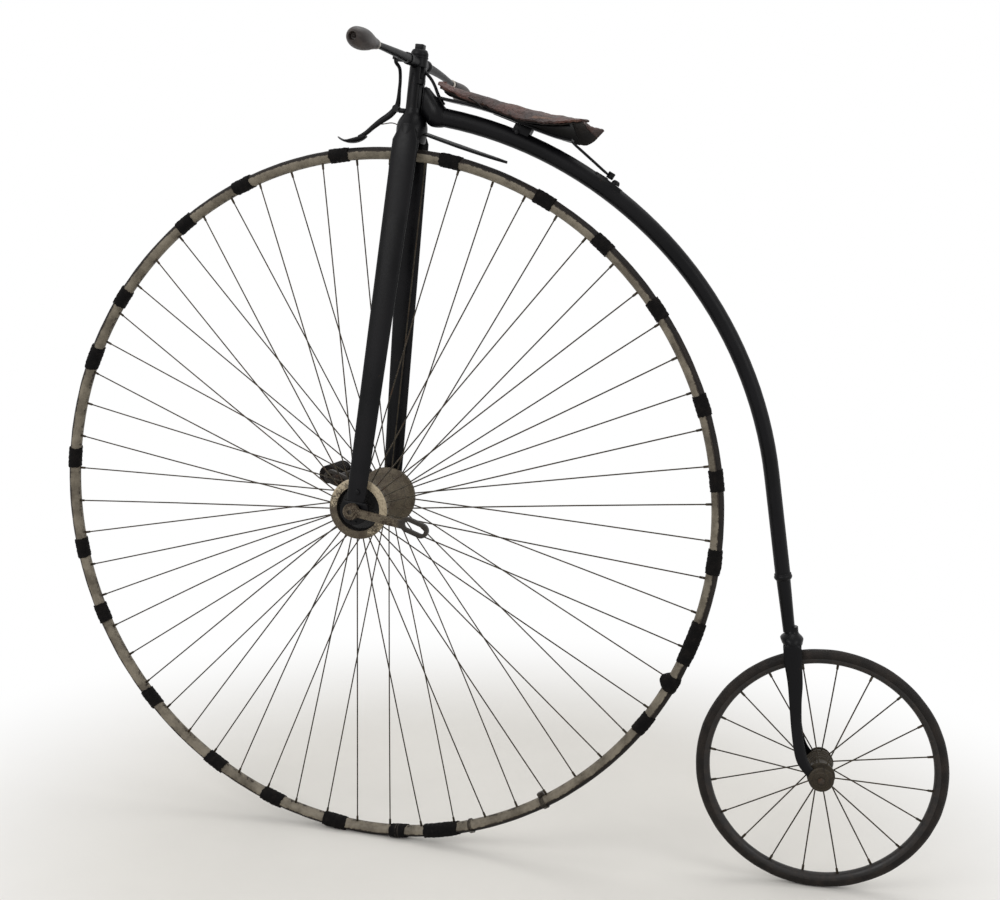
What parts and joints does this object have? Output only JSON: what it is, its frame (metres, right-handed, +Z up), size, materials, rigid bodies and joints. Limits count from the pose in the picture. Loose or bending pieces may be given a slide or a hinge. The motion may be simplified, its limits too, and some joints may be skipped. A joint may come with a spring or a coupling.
{
  "type": "penny farthing bicycle",
  "caption": "High-wheel bicycle: large spoked front wheel with cranks, small trailing wheel, curved tubular backbone, leather saddle, handlebar and spoon brake.",
  "frame": {"origin": "middle of the saddle's top, where the rider sits", "axes": "+X to the rear along the ground, +Y to the rider's right, +Z up; the bicycle stands upright and rolls towards -X"},
  "size_m": [1.735, 0.6086, 1.5011],
  "materials": {
    "black_paint": "worn gloss",
    "leather": "cracked",
    "horn": "satin",
    "tyre": "matt",
    "rubber": "matt",
    "rim_paint": "worn",
    "dark_rim_paint": "worn",
    "worn_brass": "worn",
    "olive_paint": "worn",
    "worn_steel": "dulled"
  },
  "bodies": {
    "frame": {"backbone": "black_paint", "steering_neck": "black_paint", "neck_spindle": "worn_steel", "backbone_collar": "black_paint", "rear_fork_crown": "black_paint", "rear_fork_left": "black_paint", "rear_fork_right": "black_paint", "rear_axle": "worn_steel", "saddle_spring": "black_paint", "saddle_clip": "black_paint", "saddle_frame": "black_paint", "saddle_leather": "leather", "saddle_stay": "worn_steel", "stay_clamp": "black_paint"},
    "steering": {"steering_head": "black_paint", "head_cap": "black_paint", "fork_crown": "black_paint", "fork_blade_left": "black_paint", "fork_blade_right": "black_paint", "bearing_left": "black_paint", "bearing_right": "black_paint", "handlebar": "worn_steel", "grip_left": "horn", "grip_right": "horn", "brake_lever": "black_paint", "brake_spoon": "black_paint", "brake_pivot": "black_paint", "brake_lug": "worn_steel", "brake_spring": "worn_steel", "guard_strip": "black_paint"},
    "front_wheel": {"front_hub": "worn_brass", "front_axle": "worn_steel", "front_spokes": "worn_steel", "front_rim": "rim_paint", "front_tyre": "tyre", "crank_left": "worn_brass", "crank_right": "worn_brass", "pedal_spindle": "worn_steel"},
    "pedal": {"pedal_frame": "worn_steel", "pedal_rubbers": "rubber"},
    "rear_wheel": {"rear_hub": "olive_paint", "rear_spokes": "worn_steel", "rear_rim": "dark_rim_paint", "rear_tyre": "tyre"}
  },
  "joints": [
    {"name": "steering", "type": "hinge", "parent": "frame", "child": "steering", "pos_m": [-0.2585, 0, -0.73347], "axis": [0.0872, 0, 0.9962], "range_deg": [-30.6, 39.4]},
    {"name": "front_wheel", "type": "hinge", "parent": "steering", "child": "front_wheel", "pos_m": [-0.2585, 0, -0.73347], "axis": [0.0764, 0.9971, -0.0067], "continuous": true},
    {"name": "pedal", "type": "hinge", "parent": "front_wheel", "child": "pedal", "pos_m": [-0.36777, 0.177, -0.71523], "axis": [0.0764, 0.9971, -0.0067], "continuous": true},
    {"name": "rear_wheel", "type": "hinge", "parent": "frame", "child": "rear_wheel", "pos_m": [0.5945, 0, -1.16947], "axis": [0, 1, 0], "continuous": true}
  ]
}
